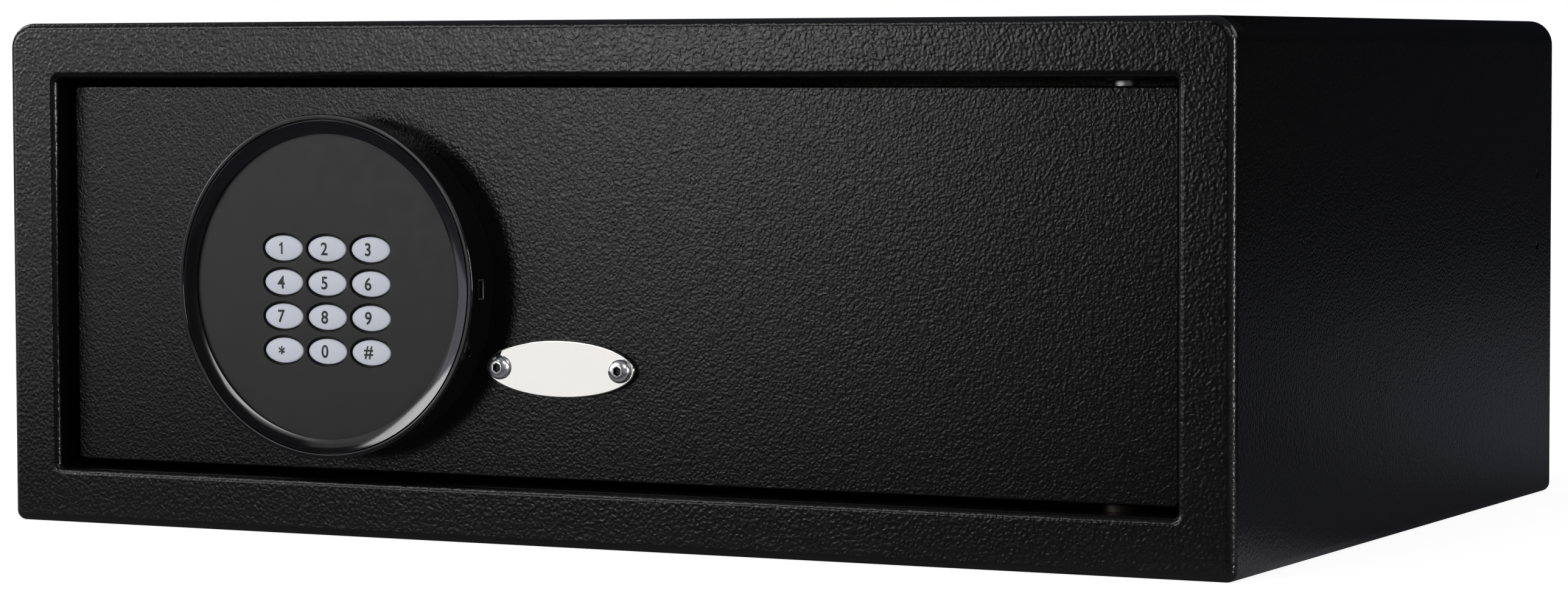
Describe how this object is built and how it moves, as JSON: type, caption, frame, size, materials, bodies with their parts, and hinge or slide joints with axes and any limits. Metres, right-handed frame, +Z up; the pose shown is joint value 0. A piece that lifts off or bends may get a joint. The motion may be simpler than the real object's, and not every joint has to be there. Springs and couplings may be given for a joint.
{
  "type": "hotel laptop safe",
  "caption": "Low, wide steel safe with a recessed side-hinged door, a round keypad lock, motor-driven bolts and an emergency lock under an oval plate.",
  "frame": {"origin": "centre of the body's underside", "axes": "+X to the right seen from the front, +Y from the front to the back, +Z up"},
  "size_m": [0.525, 0.383, 0.2],
  "materials": {
    "body_paint": "black powder coat with a fine leather-like wrinkle",
    "door_paint": "black powder coat with a fine leather-like wrinkle",
    "bare_steel": "turned and ground steel",
    "zinc_plated": "bright zinc plate",
    "polished_steel": "mirror-polished plate and screw heads",
    "bush_brass": "dark oiled bronze",
    "brass": "machined brass",
    "gloss_black": "high-gloss black moulding",
    "matte_black": "fine matt black moulding",
    "black_plastic": "satin black moulding",
    "key_grey": "pale grey moulded keys with black numbers",
    "rubber": "black rubber with a ribbed face",
    "circuit_board": "green solder mask",
    "battery_sleeve": "plain dark sleeve on a steel can"
  },
  "bodies": {
    "body": {"body_wrap": "body_paint", "front_frame": "body_paint", "back_plate": "body_paint", "floor_mat": "rubber", "base_plug_left": "black_plastic", "base_plug_right": "black_plastic", "upper_hinge_bush": "bush_brass", "lower_hinge_bush": "bush_brass"},
    "door": {"battery_1": "battery_sleeve", "battery_2": "battery_sleeve", "battery_3": "battery_sleeve", "battery_4": "battery_sleeve", "battery_lid": "black_plastic", "battery_tray": "black_plastic", "bolt_guide": "zinc_plated", "control_board": "circuit_board", "cover_plate": "polished_steel", "cover_screw_1": "zinc_plated", "cover_screw_2": "zinc_plated", "cover_screw_3": "zinc_plated", "cover_screw_4": "zinc_plated", "door_panel": "door_paint", "face_plate": "matte_black", "gear_motor": "zinc_plated", "housing_screw_1": "zinc_plated", "housing_screw_2": "zinc_plated", "inner_cover": "door_paint", "key_mat": "rubber", "keypad_board": "circuit_board", "keypad_cable": "black_plastic", "lock_barrel": "zinc_plated", "lock_housing": "gloss_black", "lower_hinge_block": "bare_steel", "lower_hinge_pin": "bare_steel", "plate_screw_left": "polished_steel", "plate_screw_right": "polished_steel", "power_jack": "gloss_black", "trim_ring": "gloss_black", "upper_hinge_block": "bare_steel", "upper_hinge_pin": "bare_steel", "usb_port": "bare_steel"},
    "bolt_work": {"bolt_carriage": "zinc_plated", "upper_bolt": "bare_steel", "lower_bolt": "bare_steel"},
    "pinion": {"drive_pinion": "brass"},
    "emergency_lock": {"lock_plug": "brass", "lock_cam": "bare_steel"},
    "key_1_body": {"key_1": "key_grey"},
    "key_2_body": {"key_2": "key_grey"},
    "key_3_body": {"key_3": "key_grey"},
    "key_4_body": {"key_4": "key_grey"},
    "key_5_body": {"key_5": "key_grey"},
    "key_6_body": {"key_6": "key_grey"},
    "key_7_body": {"key_7": "key_grey"},
    "key_8_body": {"key_8": "key_grey"},
    "key_9_body": {"key_9": "key_grey"},
    "key_clear_body": {"key_clear": "key_grey"},
    "key_0_body": {"key_0": "key_grey"},
    "key_lock_body": {"key_lock": "key_grey"}
  },
  "joints": [
    {"name": "door_hinge", "type": "hinge", "parent": "body", "child": "door", "pos_m": [0.2132, -0.1665, 0.1], "axis": [0, 0, 1], "range_deg": [0, 110]},
    {"name": "bolt_slide", "type": "slide", "parent": "door", "child": "bolt_work", "axis": [-1, 0, 0], "range_m": [0, 0.02]},
    {"name": "pinion_spin", "type": "hinge", "parent": "door", "child": "pinion", "pos_m": [-0.135, -0.145, 0.11331], "axis": [0, 1, 0], "range_deg": [0, 155]},
    {"name": "emergency_turn", "type": "hinge", "parent": "door", "child": "emergency_lock", "pos_m": [-0.0137, -0.1625, 0.0675], "axis": [0, 1, 0], "range_deg": [0, 90]},
    {"name": "key_1_press", "type": "slide", "parent": "door", "child": "key_1_body", "axis": [0, 1, 0], "range_m": [0, 0.0008], "stiffness_N_per_m": 1000, "springref_m": -0.0005},
    {"name": "key_2_press", "type": "slide", "parent": "door", "child": "key_2_body", "axis": [0, 1, 0], "range_m": [0, 0.0008], "stiffness_N_per_m": 1000, "springref_m": -0.0005},
    {"name": "key_3_press", "type": "slide", "parent": "door", "child": "key_3_body", "axis": [0, 1, 0], "range_m": [0, 0.0008], "stiffness_N_per_m": 1000, "springref_m": -0.0005},
    {"name": "key_4_press", "type": "slide", "parent": "door", "child": "key_4_body", "axis": [0, 1, 0], "range_m": [0, 0.0008], "stiffness_N_per_m": 1000, "springref_m": -0.0005},
    {"name": "key_5_press", "type": "slide", "parent": "door", "child": "key_5_body", "axis": [0, 1, 0], "range_m": [0, 0.0008], "stiffness_N_per_m": 1000, "springref_m": -0.0005},
    {"name": "key_6_press", "type": "slide", "parent": "door", "child": "key_6_body", "axis": [0, 1, 0], "range_m": [0, 0.0008], "stiffness_N_per_m": 1000, "springref_m": -0.0005},
    {"name": "key_7_press", "type": "slide", "parent": "door", "child": "key_7_body", "axis": [0, 1, 0], "range_m": [0, 0.0008], "stiffness_N_per_m": 1000, "springref_m": -0.0005},
    {"name": "key_8_press", "type": "slide", "parent": "door", "child": "key_8_body", "axis": [0, 1, 0], "range_m": [0, 0.0008], "stiffness_N_per_m": 1000, "springref_m": -0.0005},
    {"name": "key_9_press", "type": "slide", "parent": "door", "child": "key_9_body", "axis": [0, 1, 0], "range_m": [0, 0.0008], "stiffness_N_per_m": 1000, "springref_m": -0.0005},
    {"name": "key_clear_press", "type": "slide", "parent": "door", "child": "key_clear_body", "axis": [0, 1, 0], "range_m": [0, 0.0008], "stiffness_N_per_m": 1000, "springref_m": -0.0005},
    {"name": "key_0_press", "type": "slide", "parent": "door", "child": "key_0_body", "axis": [0, 1, 0], "range_m": [0, 0.0008], "stiffness_N_per_m": 1000, "springref_m": -0.0005},
    {"name": "key_lock_press", "type": "slide", "parent": "door", "child": "key_lock_body", "axis": [0, 1, 0], "range_m": [0, 0.0008], "stiffness_N_per_m": 1000, "springref_m": -0.0005}
  ],
  "couplings": [
    {"joint": "pinion_spin", "follows": "bolt_slide", "rad_per_m": 133.33}
  ]
}
